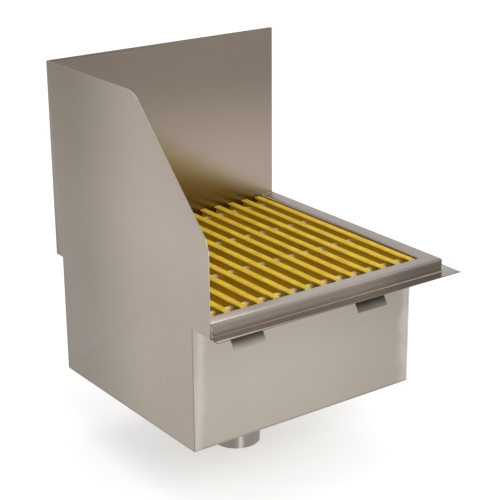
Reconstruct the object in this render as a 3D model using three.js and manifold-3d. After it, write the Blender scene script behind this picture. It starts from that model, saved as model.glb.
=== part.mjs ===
// A built-in mop service sink of welded stainless sheet: a deep basin, a side splash that runs on
// from the left wall, a backsplash, a raised rim with a tiling flange outside it, a lift-out
// fibreglass grating and a lift-out strainer over the waste.
// Millimetres, +Z up. Sizes are worked out from the basin's front left bottom corner; the whole
// model is then moved so that the origin is the middle of its box, level with the waste's end.

import * as THREE from "three";
import { mergeVertices } from "three/addons/utils/BufferGeometryUtils.js";
import Module from "manifold-3d";

// ---- driving dimensions -----------------------------------------------------------------------

const sheet = 1.5; // thickness of every stainless sheet

const basinWidth = 538; // outside the side walls
const basinDepth = 484; // outside the front and rear walls
const basinHeight = 253.5; // bottom edge of the walls up to the deck's underside
const basinCornerRadius = 6; // lower rear corner of the side sheet

const wallOverhang = 26; // the splashes stand this far behind the basin's rear wall
const splashHeight = 412; // above the deck
const splashTopLength = 333; // level top edge of the side splash
const splashFrontHeight = 179; // upright front edge of the side splash, above the deck
const splashFrontOverhang = 59; // upright front edge ahead of the basin's front panel
const splashRadius = 50; // both turns of the sloping edge
const splashRearRadius = 3; // upper rear corner of the side sheet

const returnDepth = 4; // backsplash face to wall
const returnRadius = 3; // outside radius of its folded edges
const backsplashCorner = 6; // its free upper corner
const backsplashShort = 7; // its free edge stops short of the rim's outer face by this

const rimWidth = 33; // along the front
const rimSideWidth = 37; // along the right
const rimHeight = 27.4; // above the deck
const rimSetback = 1; // rim's face behind the side splash's front edge
const rimEdgeRadius = 3.5; // its folded long edges
const rimCornerRadius = 5; // its outer upright corner
const rimInnerCornerRadius = 2.5;

const frontFlange = 25; // deck showing in front of the rim
const rightFlange = 26.5; // deck showing to the right of the rim

const lugWidth = 75;
const lugThickness = 2;
const lugLeg = 13; // welded flat to the wall
const lugReach = 27.4; // how far the lug's foot stands out from the wall
const lugDrop = 40.5; // how far the foot hangs below the bend
const lugTopGap = 0.3; // lug's top edge below the deck
const frontLugInsetLeft = 112.5; // basin's left side to the first lug's middle
const frontLugInsetRight = 122.5; // basin's right side to the second lug's middle
const sideLugInset = 112.5; // basin's front and rear to the side lugs' middles

const floorRise = 8; // floor's underside at the walls, above the walls' bottom edge
const floorLow = 1; // floor's underside at the sump, above the same edge
const sumpRadius = 70;
const sumpDepth = 13; // below the floor's lowest edge
const sumpFlat = 2; // level lip at the sump's top
const sumpShelfRadius = 58;
const sumpHoleRadius = 40;
const outletDiameter = 101.6;
const outletWall = 2;
const outletDrop = 152; // below the walls' bottom edge

const barPitch = 38.1;
const barHeight = 25.4;
const barWidth = 15.2;
const barFlangeEdge = 2.8; // thickness of a flange at its edge
const barFlangeRoot = 4.4; // and where it meets the web
const barWeb = 4;
const barChamfer = 0.8;
const rodCount = 4;
const rodDiameter = 9.5;
const rodDrop = 1.5; // rods' middles below the bars' mid-height
const firstRodSetback = 36.5; // front end of the bars to the first rod
const lastRodSetback = 26.3; // rear end of the bars to the last rod
const rodEndInset = 1; // rods end this far inside the outer bars' sides
const grateRightGap = 7.5; // last bar to the rim
const grateFrontGap = 3; // bar ends to the rim
const grateRearGap = 2; // bar ends to the backsplash
const grateLeftGapLeast = 4; // no bar nearer the side sheet than this

const strainerRadius = 55;
const strainerHole = 4; // radius of one perforation
const strainerRings = [
  { radius: 17, count: 6 },
  { radius: 31, count: 12 },
];
const knobRadius = 10;
const knobHeight = 22;
const knobStemRadius = 3.5;
const knobCapHeight = 7;

const clearance = 0.3; // running and seating gap between loose pieces

const arcSteps = 4; // steps in half of a rounded corner
const turnedSides = 48; // sides of the large turned pieces
const smallSides = 24;
const rodSides = 12;
const perforationSides = 10;
const overcut = 20; // how far a cutting block runs past what it cuts

// ---- levels and lines that several pieces share -------------------------------------------------

const leftInside = sheet;
const rightInside = basinWidth - sheet;
const frontInside = sheet;
const rearInside = basinDepth - sheet;
const deckUnder = basinHeight;
const deckTop = deckUnder + sheet;
const rimTop = deckTop + rimHeight;
const splashTop = deckTop + splashHeight;
const wallLine = basinDepth + wallOverhang; // the building's wall
const splashFace = wallLine - returnDepth;
const splashFront = -splashFrontOverhang;
const rimFront = splashFront + rimSetback;
const rimInsideFront = rimFront + rimWidth;
const rimRight = rightInside + rimSideWidth;
const deckFront = rimFront - frontFlange;
const deckRight = rimRight + rightFlange;
const backsplashRight = rimRight - backsplashShort;
const drainX = basinWidth / 2;
const drainY = basinDepth / 2;
const sumpTop = floorLow + sheet;
const sumpShelf = sumpTop - sumpDepth;
const outletRadius = outletDiameter / 2;

// ---- finishes ------------------------------------------------------------------------------------

const steel = () => new THREE.MeshStandardMaterial({ color: 0xaaa298, roughness: 0.42, metalness: 1 });
const darkSteel = () => new THREE.MeshStandardMaterial({ color: 0x8f877d, roughness: 0.45, metalness: 1 });
const fibreglass = () => new THREE.MeshStandardMaterial({ color: 0xdcb436, roughness: 0.85, metalness: 0 });
const resin = () => new THREE.MeshStandardMaterial({ color: 0xcfcab0, roughness: 0.5, metalness: 0 });

// ---- joining and cutting -------------------------------------------------------------------------

const wasm = await Module();
wasm.setup();

function solid(geometry) {
  const bare = geometry.clone();
  bare.deleteAttribute("normal");
  bare.deleteAttribute("uv");
  const merged = mergeVertices(bare, 1e-4);
  return new wasm.Manifold(
    new wasm.Mesh({
      numProp: 3,
      vertProperties: new Float32Array(merged.attributes.position.array),
      triVerts: new Uint32Array(merged.index.array),
    }),
  );
}

function geometryOf(manifold) {
  const mesh = manifold.getMesh();
  const geometry = new THREE.BufferGeometry();
  geometry.setAttribute("position", new THREE.BufferAttribute(mesh.vertProperties, mesh.numProp));
  geometry.setIndex(new THREE.BufferAttribute(mesh.triVerts, 1));
  geometry.computeVertexNormals();
  return geometry;
}

function cut(base, ...tools) {
  return geometryOf(tools.reduce((left, tool) => left.subtract(solid(tool)), solid(base)));
}

function common(base, ...others) {
  return geometryOf(others.reduce((left, other) => left.intersect(solid(other)), solid(base)));
}

// ---- shapes --------------------------------------------------------------------------------------

// A closed outline through [x, y, radius] points; a radius rounds that corner with a true arc.
function outline(points) {
  const shape = new THREE.Shape();
  points.forEach(([x, y, radius = 0], i) => {
    const corner = new THREE.Vector2(x, y);
    const before = new THREE.Vector2(...points.at(i - 1)).sub(corner).normalize();
    const after = new THREE.Vector2(...points[(i + 1) % points.length]).sub(corner).normalize();
    if (!radius) {
      if (i) shape.lineTo(x, y);
      else shape.moveTo(x, y);
      return;
    }
    const half = Math.acos(before.dot(after)) / 2;
    const reach = radius / Math.tan(half);
    const start = corner.clone().addScaledVector(before, reach);
    const end = corner.clone().addScaledVector(after, reach);
    const middle = before.clone().add(after).normalize();
    const centre = corner.clone().addScaledVector(middle, radius / Math.sin(half));
    const turnsLeft = before.cross(after) < 0;
    if (i) shape.lineTo(start.x, start.y);
    else shape.moveTo(start.x, start.y);
    const from = Math.atan2(start.y - centre.y, start.x - centre.x);
    const to = Math.atan2(end.y - centre.y, end.x - centre.x);
    shape.absarc(centre.x, centre.y, radius, from, to, !turnsLeft);
  });
  shape.closePath();
  return shape;
}

function rectangle(x0, y0, x1, y1) {
  return outline([[x0, y0], [x1, y0], [x1, y1], [x0, y1]]);
}

const flatCut = { bevelEnabled: false, curveSegments: arcSteps };

// A shape drawn in X and Y, standing from z0 to z1.
function alongZ(shape, z0, z1) {
  return new THREE.ExtrudeGeometry(shape, { ...flatCut, depth: z1 - z0 }).translate(0, 0, z0);
}

// A shape drawn in Y and Z, running from x0 to x1.
function alongX(shape, x0, x1) {
  const turn = new THREE.Matrix4().makeBasis(
    new THREE.Vector3(0, 1, 0), new THREE.Vector3(0, 0, 1), new THREE.Vector3(1, 0, 0),
  );
  const run = new THREE.ExtrudeGeometry(shape, { ...flatCut, depth: x1 - x0 });
  return run.applyMatrix4(turn).translate(x0, 0, 0);
}

// A shape drawn in X and Z, running from y0 to y1.
function alongY(shape, y0, y1) {
  const turn = new THREE.Matrix4().makeBasis(
    new THREE.Vector3(1, 0, 0), new THREE.Vector3(0, 0, 1), new THREE.Vector3(0, -1, 0),
  );
  const run = new THREE.ExtrudeGeometry(shape, { ...flatCut, depth: y1 - y0 });
  return run.applyMatrix4(turn).translate(0, y1, 0);
}

function block(x0, y0, z0, x1, y1, z1) {
  return new THREE.BoxGeometry(x1 - x0, y1 - y0, z1 - z0)
    .translate((x0 + x1) / 2, (y0 + y1) / 2, (z0 + z1) / 2);
}

// A piece turned about the vertical through the drain's middle, from [radius, height] points.
function turned(profile, sides) {
  const points = profile.map(([radius, height]) => new THREE.Vector2(radius, height));
  points.push(points[0].clone());
  return new THREE.LatheGeometry(points, sides).rotateX(Math.PI / 2).translate(drainX, drainY, 0);
}

// A strip folded along its length: its outer line is a list of points, its thickness lies to the right.
function foldedStrip(line, thickness) {
  const path = line.map((point) => new THREE.Vector2(...point));
  const rightOf = (a, b) => new THREE.Vector2(b.y - a.y, a.x - b.x).normalize();
  const inner = path.map((point, i) => {
    const first = rightOf(path[Math.max(i - 1, 0)], path[Math.max(i, 1)]);
    const second = rightOf(path[Math.min(i, path.length - 2)], path[Math.min(i + 1, path.length - 1)]);
    const mitre = first.clone().add(second).normalize();
    return point.clone().addScaledVector(mitre, thickness / mitre.dot(first));
  });
  return new THREE.Shape([...path, ...inner.reverse()]);
}

// ---- scene graph ---------------------------------------------------------------------------------

const sink = new THREE.Group();
const basin = new THREE.Group();
const grate = new THREE.Group();
const strainer = new THREE.Group();
sink.add(basin, grate, strainer);

function piece(group, name, geometry, material) {
  const mesh = new THREE.Mesh(geometry, material);
  mesh.name = name;
  group.add(mesh);
  return mesh;
}

// ---- basin and splashes --------------------------------------------------------------------------

// One flush sheet: the basin's left wall and the side splash above it, which also stands ahead of
// the front panel and behind the rear one.
function leftSideSheet() {
  const shape = outline([
    [0, 0],
    [basinDepth, 0, basinCornerRadius],
    [basinDepth, deckUnder],
    [wallLine, deckUnder],
    [wallLine, splashTop, splashRearRadius],
    [wallLine - splashTopLength, splashTop, splashRadius],
    [splashFront, deckTop + splashFrontHeight, splashRadius],
    [splashFront, deckUnder],
    [0, deckUnder],
  ]);
  return alongX(shape, 0, sheet);
}

// The backsplash's outer body, or with an inset the hollow that its folded edges leave behind it.
function backsplashBody(inset) {
  const right = backsplashRight - inset;
  const top = splashTop - inset;
  const face = splashFace + inset;
  const back = inset ? wallLine + overcut : wallLine;
  const left = inset ? leftInside - overcut : leftInside;
  const bottom = inset ? deckTop - overcut : deckTop;
  const fold = returnRadius - inset;
  const plan = outline([[left, face], [right, face, fold], [right, back], [left, back]]);
  const side = outline([[face, bottom], [back, bottom], [back, top], [face, top, fold]]);
  const front = outline([[left, bottom], [right, bottom], [right, top, backsplashCorner - inset], [left, top]]);
  return common(alongZ(plan, bottom, top), alongX(side, left, right), alongY(front, face, back));
}

function backsplash() {
  return cut(backsplashBody(0), backsplashBody(sheet));
}

// The floor falls from the four walls to the round sump: a plate lofted from rectangle to circle.
function basinFloor() {
  const cornerAngles = [
    [leftInside, frontInside], [rightInside, frontInside], [rightInside, rearInside], [leftInside, rearInside],
  ].map(([x, y]) => Math.atan2(y - drainY, x - drainX));
  const evenAngles = Array.from({ length: turnedSides }, (_, i) => -Math.PI + (2 * Math.PI * i) / turnedSides);
  const angles = [...cornerAngles, ...evenAngles].sort((a, b) => a - b);
  const toWall = (angle) => {
    const run = Math.cos(angle);
    const rise = Math.sin(angle);
    const toSide = Math.abs(((run > 0 ? rightInside : leftInside) - drainX) / run);
    const toEnd = Math.abs(((rise > 0 ? rearInside : frontInside) - drainY) / rise);
    const reach = Math.min(toSide, toEnd);
    return [drainX + reach * run, drainY + reach * rise];
  };
  const ring = (place, height) => angles.map((angle) => [...place(angle), height]);
  const toSump = (angle) => [drainX + sumpRadius * Math.cos(angle), drainY + sumpRadius * Math.sin(angle)];
  const rings = [
    ring(toSump, floorLow),
    ring(toWall, floorRise),
    ring(toWall, floorRise + sheet),
    ring(toSump, floorLow + sheet),
  ];
  const count = angles.length;
  const index = [];
  rings.forEach((_, r) => {
    const here = r * count;
    const there = ((r + 1) % rings.length) * count;
    for (let i = 0; i < count; i += 1) {
      const next = (i + 1) % count;
      index.push(here + i, there + next, there + i);
      index.push(here + i, here + next, there + next);
    }
  });
  const geometry = new THREE.BufferGeometry();
  geometry.setAttribute("position", new THREE.Float32BufferAttribute(rings.flat(2), 3));
  geometry.setIndex(index);
  geometry.computeVertexNormals();
  return geometry;
}

// A pressed cup welded into the floor: its shelf carries the strainer, its hole opens to the outlet.
function drainSump() {
  const lip = sumpRadius - clearance;
  return turned(
    [
      [lip, floorLow],
      [lip, sumpTop],
      [lip - sumpFlat, sumpTop],
      [sumpShelfRadius, sumpShelf],
      [sumpHoleRadius, sumpShelf],
      [sumpHoleRadius, sumpShelf - sheet],
      [sumpShelfRadius + sheet, sumpShelf - sheet],
    ],
    turnedSides,
  );
}

function outletTube() {
  const top = sumpShelf - sheet;
  const bore = outletRadius - outletWall;
  return turned([[bore, -outletDrop], [outletRadius, -outletDrop], [outletRadius, top], [bore, top]], turnedSides);
}

piece(basin, "left_side_sheet", leftSideSheet(), steel());
piece(basin, "backsplash", backsplash(), darkSteel());
piece(basin, "front_panel", block(leftInside, 0, 0, rightInside, sheet, deckUnder), steel());
piece(basin, "right_panel", block(rightInside, 0, 0, basinWidth, basinDepth, deckUnder), steel());
piece(basin, "rear_panel", block(leftInside, rearInside, 0, rightInside, basinDepth, deckUnder), steel());
piece(basin, "basin_floor", basinFloor(), steel());
piece(basin, "drain_sump", drainSump(), steel());
piece(basin, "outlet_tube", outletTube(), steel());

// ---- deck: the tiling flange outside the rim and the ledges under the grating's ends --------------

function frontFlangePlate() {
  const shape = outline([
    [0, deckFront],
    [deckRight, deckFront],
    [deckRight, frontInside],
    [leftInside, frontInside],
    [leftInside, splashFront],
    [0, splashFront],
  ]);
  return alongZ(shape, deckUnder, deckTop);
}

piece(basin, "front_flange", frontFlangePlate(), darkSteel());
piece(
  basin, "right_flange",
  block(rightInside, frontInside, deckUnder, deckRight, wallLine, deckTop), darkSteel(),
);
piece(
  basin, "rear_ledge",
  block(leftInside, rearInside, deckUnder, rightInside, wallLine, deckTop), darkSteel(),
);

// ---- raised rim: a folded channel, mitred at the front right corner -------------------------------

// The rim's outer body, or with an inset the hollow inside the folded channel; both drawn too long.
function rimBody(inset) {
  const radius = rimEdgeRadius - inset;
  const left = leftInside - overcut;
  const rear = splashFace + overcut;
  const shape = outline([
    [left, rimFront + inset],
    [rimRight - inset, rimFront + inset, rimCornerRadius - inset],
    [rimRight - inset, rear],
    [rightInside + inset, rear],
    [rightInside + inset, rimInsideFront - inset, rimInnerCornerRadius + inset],
    [left, rimInsideFront - inset],
  ]);
  const top = rimTop - inset;
  const bottom = deckTop - overcut;
  return new THREE.ExtrudeGeometry(shape, {
    curveSegments: arcSteps,
    depth: top - bottom - 2 * radius,
    bevelEnabled: true,
    bevelSize: radius,
    bevelOffset: -radius,
    bevelThickness: radius,
    bevelSegments: 3,
  }).translate(0, 0, bottom + radius);
}

// The channel, cut square where it meets the side sheet and the backsplash, and open onto the deck.
function rimChannel() {
  const keep = block(
    leftInside, rimFront - overcut, deckTop, rimRight + overcut, splashFace, rimTop + overcut,
  );
  return common(cut(rimBody(0), rimBody(sheet)), keep);
}

// What lies before the mitre, or behind it, as a block that keeps one arm of the rim.
function mitreBlock(front) {
  const outer = [rightInside + 2 * rimSideWidth, rimInsideFront - 2 * rimWidth];
  const inner = [rightInside - rimSideWidth, rimInsideFront + rimWidth];
  const points = front
    ? [outer, inner, [-overcut, inner[1]], [-overcut, outer[1]]]
    : [outer, [outer[0], wallLine], [inner[0], wallLine], inner];
  return alongZ(outline(points), deckTop - overcut, rimTop + overcut);
}

piece(basin, "rim_front", common(rimChannel(), mitreBlock(true)), steel());
piece(basin, "rim_right", common(rimChannel(), mitreBlock(false)), steel());

// ---- anchor lugs under the deck, bent out to grip the screed --------------------------------------

// A lug's section, drawn outwards from the wall in X and upwards in Y.
function lugSection() {
  const top = deckUnder - lugTopGap;
  const bend = deckUnder - lugLeg;
  return foldedStrip([[0, top], [0, bend], [lugReach, bend - lugDrop]], -lugThickness);
}

function mirroredX(shape) {
  return new THREE.Shape(shape.getPoints().map((point) => new THREE.Vector2(-point.x, point.y)).reverse());
}

function frontLug(middle) {
  return alongX(mirroredX(lugSection()), middle - lugWidth / 2, middle + lugWidth / 2);
}

function sideLug(middle) {
  return alongY(lugSection(), middle - lugWidth / 2, middle + lugWidth / 2).translate(basinWidth, 0, 0);
}

piece(basin, "front_lug_left", frontLug(frontLugInsetLeft), steel());
piece(basin, "front_lug_right", frontLug(basinWidth - frontLugInsetRight), steel());
piece(basin, "side_lug_front", sideLug(sideLugInset), steel());
piece(basin, "side_lug_rear", sideLug(basinDepth - sideLugInset), steel());

// ---- lift-out grating: I-bars on cross rods --------------------------------------------------------

const barFront = rimInsideFront + grateFrontGap;
const barRear = splashFace - grateRearGap;
const lastBarX = rightInside - grateRightGap - barWidth / 2; // middle of the right-hand bar
const barRoom = lastBarX - leftInside - grateLeftGapLeast - barWidth / 2;
const barCount = Math.floor(barRoom / barPitch) + 1;
const firstBarX = lastBarX - (barCount - 1) * barPitch;
const firstRodY = barFront + firstRodSetback;
const rodPitch = (barRear - lastRodSetback - firstRodY) / (rodCount - 1);
const grateSeat = deckTop + clearance;
const rodHeight = grateSeat + barHeight / 2 - rodDrop;
const rodPlaces = Array.from({ length: rodCount }, (_, i) => firstRodY + i * rodPitch);

function rod(radius, x0, x1, y) {
  return new THREE.CylinderGeometry(radius, radius, x1 - x0, rodSides)
    .rotateZ(Math.PI / 2)
    .translate((x0 + x1) / 2, y, rodHeight);
}

function barSection() {
  const side = barWidth / 2;
  const web = barWeb / 2;
  const half = [
    [side - barChamfer, 0],
    [side, barChamfer],
    [side, barFlangeEdge],
    [web, barFlangeRoot],
    [web, barHeight - barFlangeRoot],
    [side, barHeight - barFlangeEdge],
    [side, barHeight - barChamfer],
    [side - barChamfer, barHeight],
  ];
  return outline([...half, ...half.map(([x, z]) => [-x, z]).reverse()]);
}

function grateBar() {
  const bar = alongY(barSection(), barFront, barRear).translate(0, 0, grateSeat);
  const holes = rodPlaces.map((y) => rod(rodDiameter / 2 + clearance, -barWidth, barWidth, y));
  return cut(bar, ...holes);
}

const barGeometry = grateBar();
for (let i = 0; i < barCount; i += 1) {
  const name = `grate_bar_${String(i + 1).padStart(2, "0")}`;
  piece(grate, name, barGeometry, fibreglass()).position.x = firstBarX + i * barPitch;
}

const rodLeft = firstBarX - barWidth / 2 + rodEndInset;
const rodRight = lastBarX + barWidth / 2 - rodEndInset;
rodPlaces.forEach((y, i) => {
  piece(grate, `grate_rod_${i + 1}`, rod(rodDiameter / 2, rodLeft, rodRight, y), resin());
});

// ---- lift-out strainer over the waste --------------------------------------------------------------

const strainerSeat = sumpShelf + clearance;
const strainerTop = strainerSeat + sheet;

function strainerPlate() {
  const plate = turned(
    [[0, strainerSeat], [strainerRadius, strainerSeat], [strainerRadius, strainerTop], [0, strainerTop]],
    turnedSides,
  );
  const holes = strainerRings.flatMap(({ radius, count }) =>
    Array.from({ length: count }, (_, i) => {
      const angle = (2 * Math.PI * i) / count;
      return new THREE.CylinderGeometry(strainerHole, strainerHole, 2 * overcut, perforationSides)
        .rotateX(Math.PI / 2)
        .translate(drainX + radius * Math.cos(angle), drainY + radius * Math.sin(angle), strainerSeat);
    }),
  );
  return cut(plate, ...holes);
}

function strainerKnob() {
  const top = strainerTop + knobHeight;
  const cap = top - knobCapHeight;
  return turned(
    [
      [0, strainerTop],
      [knobStemRadius, strainerTop],
      [knobStemRadius, cap],
      [knobRadius, cap + knobCapHeight / 3],
      [knobRadius, top - knobCapHeight / 3],
      [knobRadius - knobCapHeight / 3, top],
      [0, top],
    ],
    smallSides,
  );
}

piece(strainer, "waste_strainer", strainerPlate(), steel());
piece(strainer, "strainer_knob", strainerKnob(), steel());

// ---- the origin: middle of the sink's box, level with the outlet's end ------------------------------

sink.position.set(-deckRight / 2, -(deckFront + wallLine) / 2, outletDrop);

export default sink;
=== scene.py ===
"""Finishes and fine detail of a built-in mop service sink: ground and mill steel sheet, folded and
rounded edges, weld beads, a gritted fibreglass grating, and a plain studio round them."""

import math
import random

import bmesh
import bpy
from mathutils import Matrix, Vector, noise


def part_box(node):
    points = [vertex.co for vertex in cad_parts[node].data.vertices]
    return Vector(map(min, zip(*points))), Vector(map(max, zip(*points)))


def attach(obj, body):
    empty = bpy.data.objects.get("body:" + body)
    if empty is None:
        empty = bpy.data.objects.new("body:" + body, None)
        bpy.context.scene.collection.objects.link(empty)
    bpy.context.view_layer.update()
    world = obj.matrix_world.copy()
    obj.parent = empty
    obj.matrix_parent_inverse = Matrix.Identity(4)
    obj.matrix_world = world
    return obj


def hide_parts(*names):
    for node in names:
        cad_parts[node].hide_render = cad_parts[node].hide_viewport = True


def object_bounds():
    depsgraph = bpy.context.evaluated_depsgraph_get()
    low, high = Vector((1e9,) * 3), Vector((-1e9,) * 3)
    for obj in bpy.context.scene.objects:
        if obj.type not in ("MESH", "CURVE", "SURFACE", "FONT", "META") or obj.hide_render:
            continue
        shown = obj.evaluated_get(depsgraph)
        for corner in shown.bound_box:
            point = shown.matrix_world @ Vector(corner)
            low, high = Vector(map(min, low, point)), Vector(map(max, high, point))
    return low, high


bl_info = {
    "name": "Mop Service Sink",
    "version": (1, 0, 0),
    "blender": (4, 5, 0),
    "location": "3D View > Sidebar > Sink",
    "description": "Builds the finished surfaces of a built-in mop service sink and its studio",
    "category": "Object",
}

MM = 0.001
TOUCHING = 1e-6  # metres; points nearer to each other than this are one point
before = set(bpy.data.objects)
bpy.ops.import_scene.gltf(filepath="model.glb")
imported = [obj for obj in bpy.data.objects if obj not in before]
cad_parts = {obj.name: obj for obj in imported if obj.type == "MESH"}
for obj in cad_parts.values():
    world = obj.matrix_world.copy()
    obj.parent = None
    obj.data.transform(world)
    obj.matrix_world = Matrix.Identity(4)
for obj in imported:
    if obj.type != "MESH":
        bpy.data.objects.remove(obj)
CAD_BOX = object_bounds()
SHEET = 1.5 * MM

# The basin's front left bottom corner; all sizes below are millimetres from it.
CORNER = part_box("front_panel")[0] - Vector((SHEET, 0.0, 0.0))


def at(x, y, z):
    """The point x, y, z millimetres from the basin's front left bottom corner."""
    return CORNER + Vector((x, y, z)) * MM


def span(node):
    """A CAD node's lowest and highest corners in millimetres from the same corner."""
    low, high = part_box(node)
    return (low - CORNER) / MM, (high - CORNER) / MM


# Lines and levels that several pieces share.
LEFT_INSIDE = span("front_panel")[0].x
RIGHT_INSIDE = span("right_panel")[0].x
BASIN_WIDTH = span("right_panel")[1].x
BASIN_DEPTH = span("right_panel")[1].y
DECK_UNDER, DECK_TOP = (corner.z for corner in span("front_flange"))
RIM_FRONT = span("rim_front")[0].y
RIM_RIGHT, SPLASH_FACE, RIM_TOP = span("rim_right")[1]
RIM_FRONT_WIDTH = 33.0  # of the rim's top, along the front
RIM_SIDE_WIDTH = RIM_RIGHT - RIGHT_INSIDE
RIM_INSIDE_FRONT = RIM_FRONT + RIM_FRONT_WIDTH
RIM_CORNER = 6.0  # radius of the rim's outer upright corner
SPLASH_TOP_LENGTH = 333.0  # level top edge of the side splash
SPLASH_FRONT_HEIGHT = 179.0  # upright front edge of the side splash, above the deck
SPLASH_TURN = 50.0  # radius of both turns of the side splash's sloping edge
LUG_LEG = 12.7  # part of a lug that lies flat on its wall
LUG_REACH = 27.4  # how far a lug's foot stands out from its wall
LUG_THICKNESS = 2.0
TUBE_WALL = 2.0
CAMERA_PLACE = (-1330.6, -2017.1, 1279.1)  # fitted together with the lens and the three turns


# ---- what a user would change -------------------------------------------------------------------


class SinkSteelSettings(bpy.types.PropertyGroup):
    edge: bpy.props.FloatProperty(
        name="Edge softness", description="Rounding of a cut sheet edge, in millimetres",
        default=0.35, min=0.0, max=0.6,
    )
    fold: bpy.props.FloatProperty(
        name="Fold radius", description="Outside radius of a folded sheet edge, in millimetres",
        default=3.0, min=1.5, max=3.5,
    )
    rim_fold: bpy.props.FloatProperty(
        name="Rim fold radius", description="Outside radius of the rim's long edges, in millimetres",
        default=5.5, min=1.5, max=6.0,
    )
    bead: bpy.props.FloatProperty(
        name="Weld bead", description="Half the width of a weld bead, in millimetres",
        default=1.3, min=0.5, max=4.0,
    )
    side_tone: bpy.props.StringProperty(
        name="Side sheet colour", description="sRGB hex value of the side sheet", default="A79D93",
    )
    splash_tone: bpy.props.StringProperty(
        name="Backsplash colour", description="sRGB hex value of the backsplash", default="988B7F",
    )
    panel_tone: bpy.props.StringProperty(
        name="Panel colour", description="sRGB hex value of the basin's panels", default="A59D94",
    )
    rim_tone: bpy.props.StringProperty(
        name="Rim colour", description="sRGB hex value of the rim", default="BBB0A6",
    )


class SinkGrateSettings(bpy.types.PropertyGroup):
    grit: bpy.props.FloatProperty(
        name="Grit height", description="Tallest grain of grit on the bars, in millimetres",
        default=0.7, min=0.0, max=1.5,
    )
    grain: bpy.props.FloatProperty(
        name="Grit spacing", description="Distance between grains of grit, in millimetres",
        default=1.7, min=1.0, max=4.0,
    )
    bar_tone: bpy.props.StringProperty(
        name="Bar colour", description="sRGB hex value of the bars' resin", default="D3AF2A",
    )
    rod_tone: bpy.props.StringProperty(
        name="Rod colour", description="sRGB hex value of the cross rods", default="CEBF88",
    )
    seed: bpy.props.IntProperty(
        name="Grit seed", description="Seed of the scattered grit", default=7, min=0,
    )


class SinkStageSettings(bpy.types.PropertyGroup):
    floor_tone: bpy.props.StringProperty(
        name="Floor colour", description="sRGB hex value of the floor", default="D6D5D3",
    )
    lamp: bpy.props.FloatProperty(
        name="Lamp strength", description="Share of the soft lamps' full power", default=1.0, min=0.0,
    )
    lens: bpy.props.FloatProperty(
        name="Lens", description="Focal length of the camera, in millimetres", default=102.67, min=20.0,
    )
    azimuth: bpy.props.FloatProperty(
        name="Azimuth", description="Camera's turn to the left of the sink's front",
        default=math.radians(-35.97), subtype="ANGLE",
    )
    elevation: bpy.props.FloatProperty(
        name="Elevation", description="Camera's tilt downwards",
        default=math.radians(19.85), subtype="ANGLE",
    )
    roll: bpy.props.FloatProperty(
        name="Roll", description="Camera's turn about its own view",
        default=math.radians(-0.41), subtype="ANGLE",
    )


# ---- colours and nodes --------------------------------------------------------------------------


def linear(hexa, scale=1.0):
    """An sRGB hex value as a linear colour with alpha."""
    parts = [int(hexa[i:i + 2], 16) / 255 for i in (0, 2, 4)]
    curve = [c / 12.92 if c <= 0.04045 else ((c + 0.055) / 1.055) ** 2.4 for c in parts]
    return (*[c * scale for c in curve], 1.0)


def add_node(tree, kind, values=None, **settings):
    """A new node with its settings; each value is put in an input, or linked to it."""
    made = tree.nodes.new("ShaderNode" + kind)
    for name, setting in settings.items():
        setattr(made, name, setting)
    for name, value in (values or {}).items():
        socket = made.inputs[name]
        if isinstance(value, bpy.types.NodeSocket):
            tree.links.new(value, socket)
        else:
            socket.default_value = value
    return made


def new_material(name):
    """An empty node material and its tree."""
    material = bpy.data.materials.new(name)
    material.use_nodes = True
    material.node_tree.nodes.clear()
    return material, material.node_tree


def end_material(tree, height, strength, depth, values):
    """Ends a material's tree: the shader with its values, and relief from height, depth in metres."""
    relief = add_node(
        tree, "Bump", {"Height": height, "Strength": strength, "Distance": depth},
    ).outputs["Normal"]
    shader = add_node(tree, "BsdfPrincipled", {**values, "Normal": relief})
    add_node(tree, "OutputMaterial", {"Surface": shader.outputs[0]})


AXES = {"X": (1, 0, 0), "Y": (0, 1, 0), "Z": (0, 0, 1)}

# Direction of the scratches: noise scale along each axis, the tangent that the smear is set from,
# and its turn from that tangent, so that it lies across the scratches.
GRAINS = {
    "X": ((11, 1000, 1000), AXES["X"], 0.25),
    "Y": ((1000, 11, 1000), AXES["Y"], 0.25),
    "Z": ((1000, 1000, 11), AXES["Z"], 0.25),
    "ring": ((11, 11, 1000), AXES["Z"], 0.0),
}

RESIN_IOR = 1.54  # cured polyester


def faded(tree, place, colour, fades):
    """The colour with each fade put on it, a stretch of painted light and shade: (axis, start, end,
    share of the tone at its end). The axis is a letter, or a slanted one's parts along X, Y and Z,
    and the share is one number, or three for red, green and blue."""
    for axis, start, end, share in fades:
        slope = Vector(AXES.get(axis, axis))
        foot = CORNER.dot(slope)
        along = add_node(
            tree, "VectorMath", {0: place, 1: slope}, operation="DOT_PRODUCT",
        ).outputs["Value"]
        along = add_node(
            tree, "MapRange",
            {"Value": along, "From Min": foot + start * MM, "From Max": foot + end * MM},
            interpolation_type="SMOOTHSTEP",
        ).outputs["Result"]
        shares = share if isinstance(share, tuple) else (share, share, share)
        far_end = add_node(
            tree, "VectorMath", {0: colour, 1: shares}, operation="MULTIPLY",
        ).outputs["Vector"]
        colour = add_node(tree, "Mix", {0: along, 6: colour, 7: far_end}, data_type="RGBA").outputs[2]
    return colour


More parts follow.
